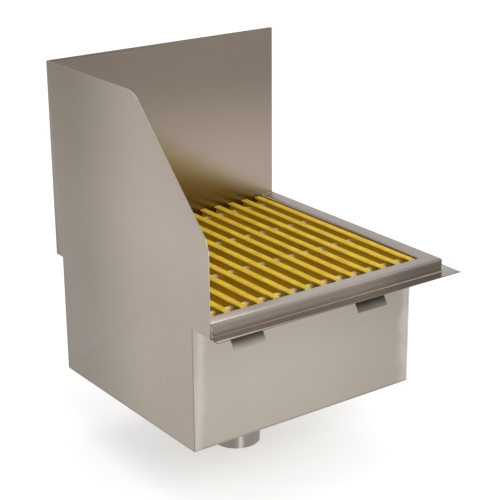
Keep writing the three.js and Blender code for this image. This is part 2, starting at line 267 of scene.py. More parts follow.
def brushed_strips(tree, place, colour, rough, strips):
    """The colour and roughness with each strip put on them, brushed paler along an upright weld:
    (middle at its foot along X, half width, lean along X for each millimetre of height)."""
    paleness, roughening = 0.36, 0.15  # at a strip's middle
    parts = add_node(tree, "SeparateXYZ", {"Vector": place})
    uneven = add_node(
        tree, "TexNoise", {"Vector": place, "Scale": 26.0, "Detail": 2.0},
    ).outputs["Fac"]
    for middle, half, lean in strips:
        foot = CORNER.x + middle * MM - CORNER.z * lean
        reach = half * MM
        away = add_node(
            tree, "Math", {0: parts.outputs["X"], 1: foot}, operation="SUBTRACT",
        ).outputs[0]
        away = add_node(
            tree, "Math", {0: parts.outputs["Z"], 1: -lean, 2: away}, operation="MULTIPLY_ADD",
        ).outputs[0]
        away = add_node(tree, "Math", {0: away}, operation="ABSOLUTE").outputs[0]
        away = add_node(
            tree, "Math", {0: uneven, 1: reach * 1.4, 2: away}, operation="MULTIPLY_ADD",
        ).outputs[0]
        near = add_node(
            tree, "MapRange",
            {"Value": away, "From Min": reach * 0.4, "From Max": reach * 1.7,
             "To Min": paleness, "To Max": 0.0},
            interpolation_type="SMOOTHSTEP",
        ).outputs["Result"]
        colour = add_node(
            tree, "Mix", {0: near, 6: colour, 7: linear("C9C9C8")}, data_type="RGBA",
        ).outputs[2]
        rough = add_node(
            tree, "Math", {0: near, 1: roughening, 2: rough}, operation="MULTIPLY_ADD",
        ).outputs[0]
    return colour, rough


def ground_steel(name, tone, grain, roughness, stretch=0.6, fades=(), strips=(), other=None):
    """Stainless sheet ground with a fine belt: long scratches along the grain, which smear
    reflections across it, and faint, uneven changes of tone from the rolling mill.

    grain is the direction of the scratches, a key of GRAINS. The fades are painted light and shade,
    as faded takes them, and the strips are as brushed_strips takes them, all in millimetres. other
    is a second look for the faces that turn one way, a lighter or darker copy of the tone that is
    painted light and shade: (axis, start, end, share of the tone, fades), where the face turns from
    the one look to the other as its normal's part along the axis goes from start to end.
    """
    material, tree = new_material(name)
    place = add_node(tree, "TexCoord").outputs["Object"]
    # Belt scratches are about 0.1 mm wide; they are drawn 1 mm wide and 90 mm long, so that they show.
    fine, along, turn = GRAINS[grain]
    scratched = add_node(tree, "Mapping", {"Vector": place, "Scale": fine}).outputs["Vector"]
    scratch = add_node(
        tree, "TexNoise", {"Vector": scratched, "Scale": 1.0, "Detail": 3.0, "Roughness": 0.65},
    ).outputs["Fac"]
    cloud = add_node(
        tree, "TexNoise", {"Vector": place, "Scale": 4.5, "Detail": 2.0, "Roughness": 0.5},
    ).outputs["Fac"]
    mixed = add_node(
        tree, "Math", {0: scratch, 1: 0.6, 2: cloud}, operation="MULTIPLY_ADD",
    ).outputs[0]
    amount = add_node(
        tree, "MapRange", {"Value": mixed, "From Min": 0.5, "From Max": 1.1},
    ).outputs["Result"]
    colour = add_node(
        tree, "Mix",
        {0: amount, 6: linear(tone, 0.97), 7: linear(tone, 1.03)}, data_type="RGBA",
    ).outputs[2]
    rough = add_node(
        tree, "MapRange",
        {"Value": scratch, "From Min": 0.3, "From Max": 0.7,
         "To Min": roughness - 0.04, "To Max": roughness + 0.04},
    ).outputs["Result"]
    plain = colour
    # The fades paint light and shade along the sheet.
    colour = faded(tree, place, plain, fades)
    # Painted light and shade by facing: faces turned one way take a lighter or darker copy of the tone.
    if other:
        axis, start, end, share, painted_facing_fades = other
        painted_facing_look = add_node(
            tree, "VectorMath", {0: plain, "Scale": share}, operation="SCALE",
        ).outputs["Vector"]
        painted_facing_look = faded(tree, place, painted_facing_look, painted_facing_fades)
        normal = add_node(tree, "NewGeometry").outputs["Normal"]
        facing = add_node(tree, "SeparateXYZ", {"Vector": normal}).outputs[axis]
        facing = add_node(
            tree, "MapRange", {"Value": facing, "From Min": start, "From Max": end},
        ).outputs["Result"]
        colour = add_node(
            tree, "Mix", {0: facing, 6: colour, 7: painted_facing_look}, data_type="RGBA",
        ).outputs[2]
    if strips:
        colour, rough = brushed_strips(tree, place, colour, rough, strips)
    tangent = add_node(
        tree, "CombineXYZ", {"X": along[0], "Y": along[1], "Z": along[2]},
    ).outputs["Vector"]
    end_material(tree, scratch, 0.06, 0.0002, {
        "Base Color": colour, "Metallic": 1.0, "Roughness": rough, "Anisotropic": stretch,
        "Anisotropic Rotation": turn, "Tangent": tangent,
    })
    return material


def mill_steel(name, tone, roughness, fades=()):
    """Stainless as it leaves the mill: smooth, a little cloudy, with faint handling marks. The
    fades are painted shade, as faded takes them."""
    material, tree = new_material(name)
    place = add_node(tree, "TexCoord").outputs["Object"]
    cloud = add_node(
        tree, "TexNoise", {"Vector": place, "Scale": 14.0, "Detail": 4.0, "Roughness": 0.6},
    ).outputs["Fac"]
    marks = add_node(
        tree, "TexNoise", {"Vector": place, "Scale": 420.0, "Detail": 2.0, "Roughness": 0.6},
    ).outputs["Fac"]
    colour = add_node(
        tree, "Mix", {0: cloud, 6: linear(tone, 0.86), 7: linear(tone, 1.12)}, data_type="RGBA",
    ).outputs[2]
    colour = faded(tree, place, colour, fades)
    rough = add_node(
        tree, "MapRange",
        {"Value": marks, "From Min": 0.3, "From Max": 0.7,
         "To Min": roughness - 0.04, "To Max": roughness + 0.06},
    ).outputs["Result"]
    end_material(tree, marks, 0.08, 0.0003, {"Base Color": colour, "Metallic": 1.0, "Roughness": rough})
    return material


def weld_metal(name):
    """Weld bead and brushed weld seam: bright, rough, with straw and blue-grey heat tint."""
    material, tree = new_material(name)
    place = add_node(tree, "TexCoord").outputs["Object"]
    tint = add_node(
        tree, "TexNoise", {"Vector": place, "Scale": 160.0, "Detail": 2.0},
    ).outputs["Fac"]
    ramp = add_node(tree, "ValToRGB", {"Fac": tint})
    ramp.color_ramp.elements[0].position = 0.35
    ramp.color_ramp.elements[0].color = linear("8E8880")
    ramp.color_ramp.elements[1].position = 0.65
    ramp.color_ramp.elements[1].color = linear("D6D2CA")
    grit = add_node(
        tree, "TexNoise", {"Vector": place, "Scale": 1500.0, "Detail": 2.0},
    ).outputs["Fac"]
    end_material(tree, grit, 0.25, 0.0003, {
        "Base Color": ramp.outputs["Color"], "Metallic": 1.0, "Roughness": 0.42,
    })
    return material


def pultruded_resin(name, tone, shade, roughness, gloss, sawn, fades):
    """Pultruded glass-fibre polyester: pigmented resin over rovings that run along the profile,
    seen as faint lengthwise threads, with dirt held in the low places. sawn is the colour of
    the cut ends, which face front and rear, and the fades are as faded takes them."""
    material, tree = new_material(name)
    place = add_node(tree, "TexCoord").outputs["Object"]
    drawn = add_node(tree, "Mapping", {"Vector": place, "Scale": (700, 25, 700)}).outputs["Vector"]
    threads = add_node(
        tree, "TexNoise", {"Vector": drawn, "Scale": 1.0, "Detail": 3.0, "Roughness": 0.6},
    ).outputs["Fac"]
    cloud = add_node(
        tree, "TexNoise", {"Vector": place, "Scale": 18.0, "Detail": 3.0},
    ).outputs["Fac"]
    amount = add_node(
        tree, "Math", {0: threads, 1: 0.6, 2: cloud}, operation="MULTIPLY_ADD",
    ).outputs[0]
    amount = add_node(
        tree, "MapRange", {"Value": amount, "From Min": 0.55, "From Max": 1.05},
    ).outputs["Result"]
    colour = add_node(
        tree, "Mix", {0: amount, 6: linear(shade), 7: linear(tone)}, data_type="RGBA",
    ).outputs[2]
    colour = faded(tree, place, colour, fades)
    facing = add_node(tree, "NewGeometry").outputs["True Normal"]
    along = add_node(tree, "SeparateXYZ", {"Vector": facing}).outputs["Y"]
    along = add_node(tree, "Math", {0: along}, operation="ABSOLUTE").outputs[0]
    end = add_node(tree, "Math", {0: along, 1: 0.99}, operation="GREATER_THAN").outputs[0]
    colour = add_node(tree, "Mix", {0: end, 6: colour, 7: linear(sawn)}, data_type="RGBA").outputs[2]
    end_material(tree, threads, 0.25, 0.0003, {
        "Base Color": colour, "Roughness": roughness, "IOR": RESIN_IOR, "Specular IOR Level": gloss,
    })
    return material


def gritted_resin(name, tone):
    """Quartz grit set in wet yellow resin: rough, with pale grain tips and darker pits."""
    material, tree = new_material(name)
    place = add_node(tree, "TexCoord").outputs["Object"]
    # Grit is sieved to about 1 mm.
    grains = add_node(
        tree, "TexVoronoi", {"Vector": place, "Scale": 800.0}, feature="F1",
    ).outputs["Distance"]
    cloud = add_node(
        tree, "TexNoise", {"Vector": place, "Scale": 30.0, "Detail": 4.0, "Roughness": 0.6},
    ).outputs["Fac"]
    amount = add_node(
        tree, "Math", {0: grains, 1: -0.5, 2: cloud}, operation="MULTIPLY_ADD",
    ).outputs[0]
    amount = add_node(
        tree, "MapRange", {"Value": amount, "From Min": 0.0, "From Max": 0.5},
    ).outputs["Result"]
    colour = add_node(
        tree, "Mix", {0: amount, 6: linear(tone, 0.72), 7: linear(tone, 1.12)}, data_type="RGBA",
    ).outputs[2]
    end_material(tree, grains, 0.5, 0.0006, {
        "Base Color": colour, "Roughness": 0.72, "IOR": RESIN_IOR, "Specular IOR Level": 0.3,
    })
    return material


def in_view(tree):
    """1 for what the camera sees, straight or in gloss and glass, and 0 for other light."""
    path = add_node(tree, "LightPath")
    seen = add_node(
        tree, "Math", {0: path.outputs["Is Camera Ray"], 1: path.outputs["Is Glossy Ray"]},
        operation="MAXIMUM",
    ).outputs[0]
    return add_node(
        tree, "Math", {0: seen, 1: path.outputs["Is Transmission Ray"]}, operation="MAXIMUM",
    ).outputs[0]


# ---- shapes -------------------------------------------------------------------------------------


def sheet_outline(points):
    """A bmesh with one flat face through points, each (position, corner radius in millimetres)."""
    bm = bmesh.new()
    corners = [bm.verts.new(position) for position, _ in points]
    bm.faces.new(corners)
    count = len(points)
    for i, (position, radius) in enumerate(points):
        if not radius:
            continue
        before = (points[i - 1][0] - position).normalized()
        after = (points[(i + 1) % count][0] - position).normalized()
        reach = radius * MM / math.tan(before.angle(after) / 2)
        bmesh.ops.bevel(
            bm, geom=[corners[i]], offset=reach, affect="VERTICES", segments=12,
            profile=0.5, material=-1,
        )
    return bm


def thicken(bm, move):
    """Extrudes every face by move and points the result outwards."""
    grown = bmesh.ops.extrude_face_region(bm, geom=bm.faces[:])
    moved = [item for item in grown["geom"] if isinstance(item, bmesh.types.BMVert)]
    bmesh.ops.translate(bm, verts=moved, vec=move)
    bmesh.ops.recalc_face_normals(bm, faces=bm.faces[:])


def soften(bm, width, segments=2, sharp=35.0):
    """Rounds every edge that turns more than sharp degrees, by width millimetres."""
    bmesh.ops.remove_doubles(bm, verts=bm.verts[:], dist=TOUCHING)
    edges = [
        edge for edge in bm.edges
        if len(edge.link_faces) == 2 and edge.calc_face_angle() > math.radians(sharp)
    ]
    bmesh.ops.bevel(
        bm, geom=edges, offset=width * MM, affect="EDGES", segments=segments, profile=0.5,
        material=-1, clamp_overlap=True,
    )


def block(low, high):
    """A bmesh box between two corners."""
    bm = bmesh.new()
    middle = Matrix.Translation((low + high) / 2)
    size = high - low
    bmesh.ops.create_cube(bm, size=1.0, matrix=middle @ Matrix.Diagonal((*size, 1.0)))
    return bm


def fold_sheet(bm, radius, out, depth):
    """Rounds an open sheet's folds, radius in millimetres, and thickens it: depth metres away from
    out, or towards it where depth is less than 0."""
    folds = [edge for edge in bm.edges if len(edge.link_faces) == 2]
    bmesh.ops.bevel(
        bm, geom=folds, offset=radius * MM, affect="EDGES", segments=6, profile=0.5, material=-1,
    )
    bmesh.ops.recalc_face_normals(bm, faces=bm.faces[:])
    broadest = max(bm.faces, key=lambda face: face.calc_area())
    if out.dot(broadest.normal) < 0:
        bmesh.ops.reverse_faces(bm, faces=bm.faces[:])
    bmesh.ops.solidify(bm, geom=bm.faces[:], thickness=depth)
    bmesh.ops.recalc_face_normals(bm, faces=bm.faces[:])


def turned(points, centre, segments=96):
    """A bmesh spun once about the upright line through centre, from [radius, height] points."""
    bm = bmesh.new()
    verts = [bm.verts.new(at(centre[0] + radius, centre[1], height)) for radius, height in points]
    edges = [bm.edges.new(pair) for pair in zip(verts, verts[1:] + verts[:1])]
    bmesh.ops.spin(
        bm, geom=verts + edges, cent=at(*centre, 0), axis=(0, 0, 1), angle=math.tau,
        steps=segments, use_merge=True,
    )
    bmesh.ops.remove_doubles(bm, verts=bm.verts[:], dist=TOUCHING)
    bmesh.ops.dissolve_degenerate(bm, edges=bm.edges[:], dist=1e-7)
    bmesh.ops.recalc_face_normals(bm, faces=bm.faces[:])
    return bm


def bead(bm, start, end, radius, flat=0.55, pitch=1.3, detail=2):
    """Adds a weld bead of overlapping ripples from start to end, radius in millimetres."""
    run = end - start
    count = max(2, round(run.length / MM / pitch))
    turn = run.to_track_quat("Z", "Y").to_matrix().to_4x4()
    shape = turn @ Matrix.Diagonal((1.0, 1.0, flat, 1.0))
    for i in range(count + 1):
        wander = 1.0 + 0.10 * math.sin(i * 2.3)
        bmesh.ops.create_icosphere(
            bm, subdivisions=detail, radius=radius * MM * wander,
            matrix=Matrix.Translation(start + run * (i / count)) @ shape,
        )


def add_object(name, data):
    """A new object in the scene."""
    made = bpy.data.objects.new(name, data)
    bpy.context.scene.collection.objects.link(made)
    return made


def piece(bm, name, material, body, nodes=(), smooth=30.0):
    """Makes the bmesh an object that rides on a body, and stands for the CAD nodes named."""
    mesh = bpy.data.meshes.new(name)
    bm.to_mesh(mesh)
    bm.free()
    mesh.shade_smooth()
    mesh.set_sharp_from_angle(angle=math.radians(smooth))
    mesh.materials.append(material)
    made = add_object(name, mesh)
    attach(made, body)
    if nodes:
        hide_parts(*nodes)


def dress(node, material):
    """Gives a CAD node that keeps its own shape its material."""
    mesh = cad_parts[node].data
    mesh.materials.clear()
    mesh.materials.append(material)


def smooth_copy(node, name, material, body, smooth=30.0, edge=0.0):
    """Stands a welded, smooth-shaded copy of a CAD node in for it."""
    bm = bmesh.new()
    bm.from_mesh(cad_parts[node].data)
    bmesh.ops.remove_doubles(bm, verts=bm.verts[:], dist=TOUCHING)
    bmesh.ops.dissolve_limit(
        bm, angle_limit=math.radians(0.5), verts=bm.verts[:], edges=bm.edges[:],
    )
    if edge:
        soften(bm, edge)
    piece(bm, name, material, body, (node,), smooth)


# ---- basin --------------------------------------------------------------------------------------


class SINK_OT_side_sheet(bpy.types.Operator):
    """The basin's left wall and side splash, one sheet with an upright grain"""

    bl_idname = "sink.side_sheet"
    bl_label = "Side Sheet"

    def execute(self, context):
        look = context.scene.sink_steel
        low, high = span("left_side_sheet")
        bm = sheet_outline([
            (at(low.x, 0, 0), 0),
            (at(low.x, BASIN_DEPTH, 0), 6),
            (at(low.x, BASIN_DEPTH, DECK_UNDER), 0),
            (at(low.x, high.y, DECK_UNDER), 0),
            (at(low.x, high.y, high.z), 3),
            (at(low.x, high.y - SPLASH_TOP_LENGTH, high.z), SPLASH_TURN),
            (at(low.x, low.y, DECK_TOP + SPLASH_FRONT_HEIGHT), SPLASH_TURN),
            (at(low.x, low.y, DECK_UNDER), 0),
            (at(low.x, 0, DECK_UNDER), 0),
        ])
        thicken(bm, Vector((SHEET, 0, 0)))
        soften(bm, look.edge)
        # Painted shade: the sheet darkens towards the rear, lower down and along its bottom edge.
        # Painted light: the faces towards the basin are a lighter copy, 1.6 times the plain tone.
        steel = ground_steel(
            "304 sheet, satin ground, upright grain", look.side_tone, "Z", 0.28,
            fades=(("Y", 130, 450, (0.57, 0.55, 0.52)), ("Z", 420, 240, 0.93), ("Z", 6, 0, 0.72)),
            other=("X", 0.3, 0.9, 1.6, ()),
        )
        piece(bm, "side_splash_sheet", steel, "basin", ("left_side_sheet",))
        return {"FINISHED"}


class SINK_OT_backsplash(bpy.types.Operator):
    """The backsplash, folded back to the wall along its top and its free edge"""

    bl_idname = "sink.backsplash"
    bl_label = "Backsplash"

    def execute(self, context):
        look = context.scene.sink_steel
        low, high = span("backsplash")
        bm = block(at(*low), at(*high))
        open_sides = [
            face for face in bm.faces if max(face.normal.y, -face.normal.x, -face.normal.z) > 0.9
        ]
        bmesh.ops.delete(bm, geom=open_sides, context="FACES")
        fold_sheet(bm, look.fold, Vector((0, -1, 0)), SHEET)
        # Painted shade: the front darkens towards the top, both ends and the top fold. The slanted
        # yellow fade at its lower left is a painted reflection of the grating. The faces towards the
        # wall are a lighter copy, 1.35 times the plain tone, darker and greyer upwards.
        steel = ground_steel(
            "304 sheet, satin ground, level grain, splash", look.splash_tone, "X", 0.2, 0.7,
            fades=(("Z", 350, 610, 0.64), ((0.6, 0.0, 1.0), 650, 575, (0.82, 0.77, 0.48)),
                   ("X", 250, 0, 0.93), ("X", 320, 560, 0.96), ("Z", 662, 667, 0.6)),
            other=("Y", 0.3, 0.9, 1.35, (("Z", 250, 670, (0.86, 0.89, 0.93)),)),
        )
        piece(bm, "backsplash_sheet", steel, "basin", ("backsplash",))
        return {"FINISHED"}


class SINK_OT_basin(bpy.types.Operator):
    """The basin's panels, floor and sump, and the seams that close its corners"""

    bl_idname = "sink.basin"
    bl_label = "Basin"

    def execute(self, context):
        look = context.scene.sink_steel
        # Painted shade: the front panel darkens towards the right, towards the top under the flange,
        # and along its bottom edge.
        panel = ground_steel(
            "304 sheet, satin ground, front panel", look.panel_tone, "Z", 0.3,
            fades=(("X", 200, 540, 0.83), ("Z", 100, 253, 0.84), ("Z", 6, 0, 0.72)),
            strips=((LEFT_INSIDE + 6, 20, 0.05), (RIGHT_INSIDE - 8, 24, 0.0)),
        )
        hidden = ground_steel("304 sheet, satin ground, plain panel", look.panel_tone, "Z", 0.3)
        dress("front_panel", panel)
        dress("right_panel", hidden)
        dress("rear_panel", hidden)
        bowl = mill_steel("304 sheet, mill finish, bowl", "A39B91", 0.32)
        smooth_copy("basin_floor", "floor_sheet", bowl, "basin", 25.0)
        # The cup's section: over its rim, down inside to the shelf and the hole, and back outside.
        sump = turned(
            [(69.6, 1.0), (69.7, 2.2), (69.4, 2.5), (68.2, 2.5), (67.4, 2.1), (66.8, 1.2),
             (59.6, -9.0), (58.6, -10.2), (57.4, -10.5), (40.6, -10.5), (40.0, -10.9), (40.0, -12.0),
             (58.4, -12.0), (60.2, -11.2), (61.2, -9.8)],
            (BASIN_WIDTH / 2, BASIN_DEPTH / 2),
        )
        piece(sump, "sump_cup", bowl, "basin", ("drain_sump",), 40.0)
        ground = ground_steel("Ground weld seam", "BDB9B2", "Z", 0.40, 0.3)
        unground = mill_steel("304 sheet, unground weld seam", "837B72", 0.45)
        half_way = 126.6  # up the basin's wall
        for name, metal, x, inset, radius, height, segments in (
            ("corner_seams", ground, BASIN_WIDTH - 1.4, 1.4, 1.7, 253.0, 20),
            ("side_sheet_seams", unground, 0.9, 0.7, 1.0, 252.0, 16),
        ):
            bm = bmesh.new()
            for y in (inset, BASIN_DEPTH - inset):
                bmesh.ops.create_cone(
                    bm, segments=segments, radius1=radius * MM, radius2=radius * MM,
                    depth=height * MM, cap_ends=True, matrix=Matrix.Translation(at(x, y, half_way)),
                )
            piece(bm, name, metal, "basin", (), 40.0)
        return {"FINISHED"}


class SINK_OT_outlet(bpy.types.Operator):
    """The drawn outlet tube, with its eased end and the weld bead round its top"""

    bl_idname = "sink.outlet"
    bl_label = "Outlet"

    def execute(self, context):
        low, high = span("outlet_tube")
        outer = (high.x - low.x) / 2
        bore = outer - TUBE_WALL
        centre = ((low.x + high.x) / 2, (low.y + high.y) / 2)
        bm = turned(
            [(bore, low.z + 0.4), (bore + 0.4, low.z), (outer - 0.5, low.z), (outer, low.z + 0.5),
             (outer, high.z), (bore, high.z)],
            centre,
        )
        steel = ground_steel("304 tube, drawn and belt polished", "A29C96", "ring", 0.45, 0.9)
        piece(bm, "waste_tube", steel, "basin", ("outlet_tube",), 40.0)
        weld = bmesh.new()
        turns = [math.tau * i / 48 for i in range(49)]
        reach = outer + 0.6
        ring = [
            at(centre[0] + reach * math.cos(turn), centre[1] + reach * math.sin(turn), high.z - 0.8)
            for turn in turns
        ]
        for start, end in zip(ring, ring[1:]):
            bead(weld, start, end, 1.5, pitch=2.0)
        metal = weld_metal("308 weld metal, tube")
        piece(weld, "tube_weld", metal, "basin", (), 50.0)
        return {"FINISHED"}


class SINK_OT_deck(bpy.types.Operator):
    """The flange and ledges, and the bent lugs under them"""

    bl_idname = "sink.deck"
    bl_label = "Deck"

    def execute(self, context):
        look = context.scene.sink_steel
        # Painted shade: the flange darkens towards the right, and its edges, and the rear ledge's, are
        # a darker copy, 0.25 times the tone and darker still towards the left end.
        front = ground_steel(
            "304 sheet, satin ground, flange front", look.rim_tone, "X", 0.18,
            fades=(("X", 0, 300, 0.8), ("X", 300, 600, 0.72)),
            other=("Z", 0.98, 0.8, 0.25, (("X", 260, 0, 0.3),)),
        )
        side = ground_steel("304 sheet, satin ground, flange side", look.rim_tone, "Y", 0.18)
        for node, steel in (("front_flange", front), ("right_flange", side), ("rear_ledge", front)):
            smooth_copy(node, node + "_sheet", steel, "basin", edge=0.3)
        # Painted shade under the flange: each lug darkens towards its top, and the front lugs towards
        # the right.
        flange_shaded_lug_steel = mill_steel(
            "304 sheet, mill finish, front lug", "9C9288", 0.4,
            (("Z", 201, 218, 0.27), ("X", 200, 400, 0.5)),
        )
        plain = mill_steel("304 sheet, mill finish, side lug", "9C9288", 0.4, (("Z", 201, 225, 0.5),))
        for node in ("front_lug_left", "front_lug_right"):
            low, high = span(node)
            self.lug(node, ((low.x, 0.0), (high.x, 0.0)), Vector((0, -1, 0)), flange_shaded_lug_steel)
        for node in ("side_lug_front", "side_lug_rear"):
            low, high = span(node)
            self.lug(node, ((BASIN_WIDTH, low.y), (BASIN_WIDTH, high.y)), Vector((1, 0, 0)), plain)
        return {"FINISHED"}

    def lug(self, node, ends, out, steel):
        """One lug, a bent strip whose flat part runs between two ends on its wall, and whose foot
        stands out from there."""
        low, high = span(node)
        bm = bmesh.new()
        line = ((0.0, high.z), (0.0, high.z - LUG_LEG), (LUG_REACH, low.z + 0.6))
        first, second = (
            [bm.verts.new(at(x + out.x * reach, y + out.y * reach, height)) for reach, height in line]
            for x, y in ends
        )
        for i in range(2):
            bm.faces.new((first[i], first[i + 1], second[i + 1], second[i]))
        fold_sheet(bm, 2.4, out, -LUG_THICKNESS * MM)
        soften(bm, 0.6, 3)
        piece(bm, node + "_plate", steel, "basin", (node,))


class SINK_OT_rim(bpy.types.Operator):
    """The raised rim: two folded lengths, mitred at the corner, and the fold along its foot"""

    bl_idname = "sink.rim"
    bl_label = "Rim"

    def execute(self, context):
        look = context.scene.sink_steel
        # Painted light and shade on the rim's front face: lighter at its left end, darker towards the
        # right, and darkest a little above its middle, lighter again near its foot.
        painted_face_shading = (
            ("X", 240, 0, 1.14), ("X", 330, 520, 0.55), ("Z", 284, 272, 0.63), ("Z", 271, 264, 1.35),
        )
        for node, grain, share, painted_upright_shading in (
            ("rim_front", "X", 0.6, painted_face_shading), ("rim_right", "Y", 0.85, ()),
        ):
            bm = sheet_outline([
                (at(LEFT_INSIDE, RIM_FRONT, DECK_TOP), 0),
                (at(RIM_RIGHT, RIM_FRONT, DECK_TOP), RIM_CORNER),
                (at(RIM_RIGHT, SPLASH_FACE, DECK_TOP), 0),
                (at(RIGHT_INSIDE, SPLASH_FACE, DECK_TOP), 0),
                (at(RIGHT_INSIDE, RIM_INSIDE_FRONT, DECK_TOP), 2.5),
                (at(LEFT_INSIDE, RIM_INSIDE_FRONT, DECK_TOP), 0),
            ])
            thicken(bm, Vector((0, 0, (RIM_TOP - DECK_TOP) * MM)))
            round_top_edges(bm, RIM_TOP, look.rim_fold, 6)
            cut = bmesh.ops.bisect_plane(
                bm, geom=bm.verts[:] + bm.edges[:] + bm.faces[:],
                plane_co=at(RIGHT_INSIDE, RIM_INSIDE_FRONT, 0),
                plane_no=(RIM_FRONT_WIDTH, RIM_SIDE_WIDTH, 0),
                clear_outer=node == "rim_front", clear_inner=node == "rim_right",
            )
            open_edges = [item for item in cut["geom_cut"] if isinstance(item, bmesh.types.BMEdge)]
            bmesh.ops.holes_fill(bm, edges=open_edges)
            bmesh.ops.recalc_face_normals(bm, faces=bm.faces[:])
            # Painted light and shade: the rim's top is lighter at its left end and darker towards the
            # right, and its upright faces are a darker copy, 0.6 (front) and 0.85 (right) times the
            # plain tone.
            steel = ground_steel(
                f"304 sheet, satin ground along {grain}, rim", look.rim_tone, grain, 0.3,
                fades=(("X", 190, 0, 1.4), ("X", 0, 240, 0.76), ("X", 330, 600, 0.8)),
                other=("Z", 0.995, 0.75, share, painted_upright_shading),
            )
            piece(bm, node + "_fold", steel, "basin", (node,))
        self.foot(look)
        return {"FINISHED"}

    def foot(self, look):
        """The sheet's small outward fold where the rim's outer face meets the flange."""
        out = 1.3
        back = 2.0
        foot = sheet_outline([
            (at(LEFT_INSIDE, RIM_FRONT - out, DECK_TOP), 0),
            (at(RIM_RIGHT + out, RIM_FRONT - out, DECK_TOP), RIM_CORNER + out),
            (at(RIM_RIGHT + out, SPLASH_FACE, DECK_TOP), 0),
            (at(RIM_RIGHT - back, SPLASH_FACE, DECK_TOP), 0),
            (at(RIM_RIGHT - back, RIM_FRONT + back, DECK_TOP), 0),
            (at(LEFT_INSIDE, RIM_FRONT + back, DECK_TOP), 0),
        ])
        thicken(foot, Vector((0, 0, out * MM)))
        round_top_edges(foot, DECK_TOP + out, 0.9, 3)
        crease = ground_steel("304 sheet, satin ground, fold at the rim's foot", "A0978E", "X", 0.28)
        piece(foot, "rim_foot_fold", crease, "basin", (), 20.0)


def round_top_edges(bm, level, radius, segments):
    """Rounds the outline's edges at a level, but not the two square ends."""
    height = at(0, 0, level).z
    ends = (at(LEFT_INSIDE, 0, 0).x, at(0, SPLASH_FACE, 0).y)
    edges = []
    for edge in bm.edges:
        points = [vert.co for vert in edge.verts]
        if any(abs(point.z - height) > TOUCHING for point in points):
            continue
        if all(abs(point.x - ends[0]) < TOUCHING for point in points):
            continue
        if all(abs(point.y - ends[1]) < TOUCHING for point in points):
            continue
        edges.append(edge)
    bmesh.ops.bevel(
        bm, geom=edges, offset=radius * MM, affect="EDGES", segments=segments, profile=0.5,
        material=-1,
    )


class SINK_OT_welds(bpy.types.Operator):
    """The weld beads that are left as laid"""

    bl_idname = "sink.welds"
    bl_label = "Welds"

    def execute(self, context):
        look = context.scene.sink_steel
        metal = weld_metal("308 weld metal, as laid")
        rim = bmesh.new()
        face = (LEFT_INSIDE + 3.2, RIM_FRONT - 0.3)
        bead(rim, at(*face, DECK_TOP + 1), at(*face, RIM_TOP - 1.2), look.bead)
        left = LEFT_INSIDE + 1.2
        bead(rim, at(left, RIM_FRONT + 1.5, RIM_TOP), at(left, RIM_INSIDE_FRONT - 2, RIM_TOP), 0.9)
        wall = SPLASH_FACE - 0.8
        bead(rim, at(RIGHT_INSIDE + 1, wall, RIM_TOP), at(RIM_RIGHT - 5.5, wall, RIM_TOP), 1.2)
        bead(rim, at(RIM_RIGHT - 4, wall, RIM_TOP - 1), at(RIM_RIGHT - 1.3, wall, DECK_TOP + 2), 1.2)
        turn = (RIM_RIGHT - 1.9, RIM_FRONT + 1.9)
        bead(rim, at(*turn, DECK_TOP + 2), at(*turn, RIM_TOP - 4), 1.2, flat=0.8)
        piece(rim, "rim_end_welds", metal, "basin", (), 60.0)
        # A dark strip on both sides of the bead: painted shade for the crevices beside it.
        scale = block(
            at(LEFT_INSIDE + 0.2, RIM_FRONT - 0.2, DECK_TOP + 0.6),
            at(LEFT_INSIDE + 6.4, RIM_FRONT + 0.4, RIM_TOP - 1.6),
        )
        soften(scale, 0.15)
        crevice_shade_steel = mill_steel("304 sheet, painted crevice shade", "6E655C", 0.5)
        piece(scale, "rim_end_painted_shade", crevice_shade_steel, "basin", (), 40.0)
        upright = bmesh.new()
        top = span("backsplash")[1].z - 2
        inner = (LEFT_INSIDE + 0.8, SPLASH_FACE - 0.7)
        bead(upright, at(*inner, DECK_TOP + 2), at(*inner, top), 1.3, flat=0.8, pitch=1.5, detail=1)
        piece(upright, "splash_corner_weld", metal, "basin", (), 60.0)
        under = bmesh.new()
        level = DECK_UNDER - 0.7
        side = BASIN_WIDTH + 0.6
        rear = BASIN_DEPTH + 0.6
        for start in range(20, 500, 96):
            end = start + 26
            stitches = [((start, -0.6), (end, -0.6))]
            if start < 440:
                stitches += [((side, start), (side, end)), ((start, rear), (end, rear))]
            for first, last in stitches:
                bead(under, at(*first, level), at(*last, level), 1.4, pitch=1.6, detail=1)
        lug_sides = []
        for node in ("front_lug_left", "front_lug_right"):
            low, high = span(node)
            lug_sides += [(low.x - 0.4, -0.9), (high.x + 0.4, -0.9)]
        for node in ("side_lug_front", "side_lug_rear"):
            low, high = span(node)
            lug_sides += [(BASIN_WIDTH + 0.9, low.y - 0.4), (BASIN_WIDTH + 0.9, high.y + 0.4)]
        for foot in lug_sides:
            bead(under, at(*foot, DECK_UNDER - 12.0), at(*foot, DECK_UNDER - 1.5), 1.2, detail=1)
        piece(under, "deck_stitch_welds", metal, "basin", (), 60.0)
        return {"FINISHED"}


# ---- grating and strainer -----------------------------------------------------------------------


